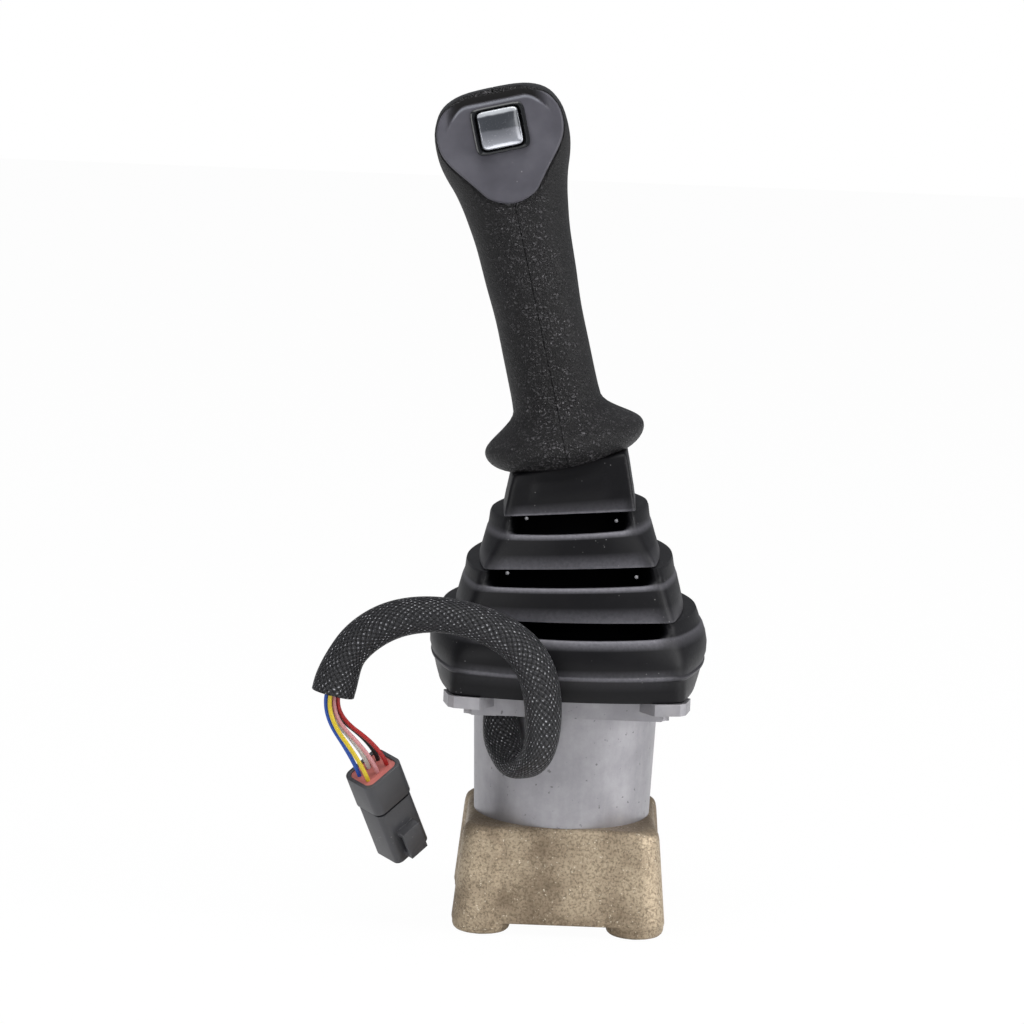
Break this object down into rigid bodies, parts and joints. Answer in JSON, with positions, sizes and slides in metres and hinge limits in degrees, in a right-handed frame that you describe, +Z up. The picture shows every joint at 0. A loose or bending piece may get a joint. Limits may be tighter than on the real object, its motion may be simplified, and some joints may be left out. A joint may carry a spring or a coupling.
{
  "type": "hydraulic pilot joystick valve",
  "caption": "Hand-operated hydraulic pilot valve: leaning grip with a push button on a pleated boot, square ported casing, and a flying connector on a braided lead.",
  "frame": {"origin": "centre of the mouth of port P in the casing's underside", "axes": "+Z up along the valve's axis, -Y the front that the grip's push button faces, +X to the right of it"},
  "size_m": [0.1589, 0.1295, 0.3511],
  "materials": {
    "cast_iron": "rough casting with a thin golden passivated look",
    "cast_aluminium": "machined casting, dull",
    "steel": "ground",
    "zinc_steel": "zinc plated",
    "black_steel": "black oxide",
    "brass": "turned",
    "seal_rubber": "moulded",
    "boot_rubber": "semi matt moulded",
    "grip_plastic": "leather grain",
    "panel_plastic": "fine satin",
    "black_gloss": "polished",
    "silver_button": "silver lacquer",
    "braid": "woven sleeve",
    "connector_grey": "moulded",
    "connector_dark": "moulded",
    "seal_red": "silicone",
    "wire_yellow": "extruded",
    "wire_white": "extruded",
    "wire_blue": "extruded",
    "wire_black": "extruded",
    "wire_pink": "extruded",
    "wire_red": "extruded"
  },
  "bodies": {
    "housing": {"port_casing": "cast_iron", "face_seals": "seal_rubber", "upper_housing": "cast_aluminium", "housing_screws": "black_steel", "cable_grommet": "seal_rubber", "retainer_plate": "zinc_steel", "pusher_bushes": "brass", "bush_seals": "seal_rubber", "pusher_seals": "seal_rubber", "spring_washers": "steel", "joint_base": "steel", "boot": "boot_rubber", "cable_sleeve": "braid", "wire_black": "wire_black", "wire_blue": "wire_blue", "wire_pink": "wire_pink", "wire_red": "wire_red", "wire_white": "wire_white", "wire_yellow": "wire_yellow", "connector_rear": "connector_grey", "connector_seal": "seal_red", "connector_joint_ring": "connector_dark", "connector_front": "connector_grey", "connector_contacts": "brass", "return_spring_front": "steel", "return_spring_right": "steel", "return_spring_back": "steel", "return_spring_left": "steel"},
    "gimbal": {"joint_cross": "steel"},
    "lever": {"joint_top": "steel", "cam_disc": "steel", "adjusting_nut": "zinc_steel", "lock_nut": "zinc_steel", "lever_tube": "steel", "grip_left_half": "grip_plastic", "grip_right_half": "grip_plastic", "grip_screws": "black_steel", "switch_lead": "boot_rubber", "face_panel": "panel_plastic", "switch_body": "black_gloss", "button_spring": "steel"},
    "button": {"switch_button": "silver_button"},
    "pusher_set_front": {"pusher_front": "steel", "spring_seat_front": "steel"},
    "spool_set_front": {"spool_front": "steel", "balance_spring_front": "steel"},
    "pusher_set_right": {"pusher_right": "steel", "spring_seat_right": "steel"},
    "spool_set_right": {"spool_right": "steel", "balance_spring_right": "steel"},
    "pusher_set_back": {"pusher_back": "steel", "spring_seat_back": "steel"},
    "spool_set_back": {"spool_back": "steel", "balance_spring_back": "steel"},
    "pusher_set_left": {"pusher_left": "steel", "spring_seat_left": "steel"},
    "spool_set_left": {"spool_left": "steel", "balance_spring_left": "steel"}
  },
  "joints": [
    {"name": "tilt_x", "type": "hinge", "parent": "housing", "child": "gimbal", "pos_m": [0, 0, 0.109], "axis": [1, 0, 0], "range_deg": [-19, 19], "stiffness_Nm_per_rad": 6, "deforming": ["boot"]},
    {"name": "tilt_y", "type": "hinge", "parent": "gimbal", "child": "lever", "pos_m": [0, 0, 0.109], "axis": [0, 1, 0], "range_deg": [-19, 19], "stiffness_Nm_per_rad": 6, "deforming": ["boot"]},
    {"name": "button_press", "type": "slide", "parent": "lever", "child": "button", "axis": [0.0413, 0.9848, -0.1687], "range_m": [0, 0.0022], "stiffness_N_per_m": 600, "springref_m": -0.0015, "deforming": ["button_spring"]},
    {"name": "pusher_travel_back", "type": "slide", "parent": "housing", "child": "pusher_set_back", "axis": [0, 0, 1], "range_m": [-0.0086, 0.0086], "deforming": ["return_spring_back", "balance_spring_back"]},
    {"name": "spool_travel_back", "type": "slide", "parent": "housing", "child": "spool_set_back", "axis": [0, 0, 1], "range_m": [-0.00205, 0.00205]},
    {"name": "pusher_travel_front", "type": "slide", "parent": "housing", "child": "pusher_set_front", "axis": [0, 0, 1], "range_m": [-0.0086, 0.0086], "deforming": ["return_spring_front", "balance_spring_front"]},
    {"name": "spool_travel_front", "type": "slide", "parent": "housing", "child": "spool_set_front", "axis": [0, 0, 1], "range_m": [-0.00205, 0.00205]},
    {"name": "pusher_travel_right", "type": "slide", "parent": "housing", "child": "pusher_set_right", "axis": [0, 0, 1], "range_m": [-0.0086, 0.0086], "deforming": ["return_spring_right", "balance_spring_right"]},
    {"name": "spool_travel_right", "type": "slide", "parent": "housing", "child": "spool_set_right", "axis": [0, 0, 1], "range_m": [-0.00205, 0.00205]},
    {"name": "pusher_travel_left", "type": "slide", "parent": "housing", "child": "pusher_set_left", "axis": [0, 0, 1], "range_m": [-0.0086, 0.0086], "deforming": ["return_spring_left", "balance_spring_left"]},
    {"name": "spool_travel_left", "type": "slide", "parent": "housing", "child": "spool_set_left", "axis": [0, 0, 1], "range_m": [-0.00205, 0.00205]}
  ],
  "couplings": [
    {"joint": "pusher_travel_back", "follows": "tilt_x", "m_per_rad": 0.0256},
    {"joint": "spool_travel_back", "follows": "tilt_x", "m_per_rad": 0.006},
    {"joint": "pusher_travel_front", "follows": "tilt_x", "m_per_rad": -0.0256},
    {"joint": "spool_travel_front", "follows": "tilt_x", "m_per_rad": -0.006},
    {"joint": "pusher_travel_right", "follows": "tilt_y", "m_per_rad": -0.0256},
    {"joint": "spool_travel_right", "follows": "tilt_y", "m_per_rad": -0.006},
    {"joint": "pusher_travel_left", "follows": "tilt_y", "m_per_rad": 0.0256},
    {"joint": "spool_travel_left", "follows": "tilt_y", "m_per_rad": 0.006}
  ]
}
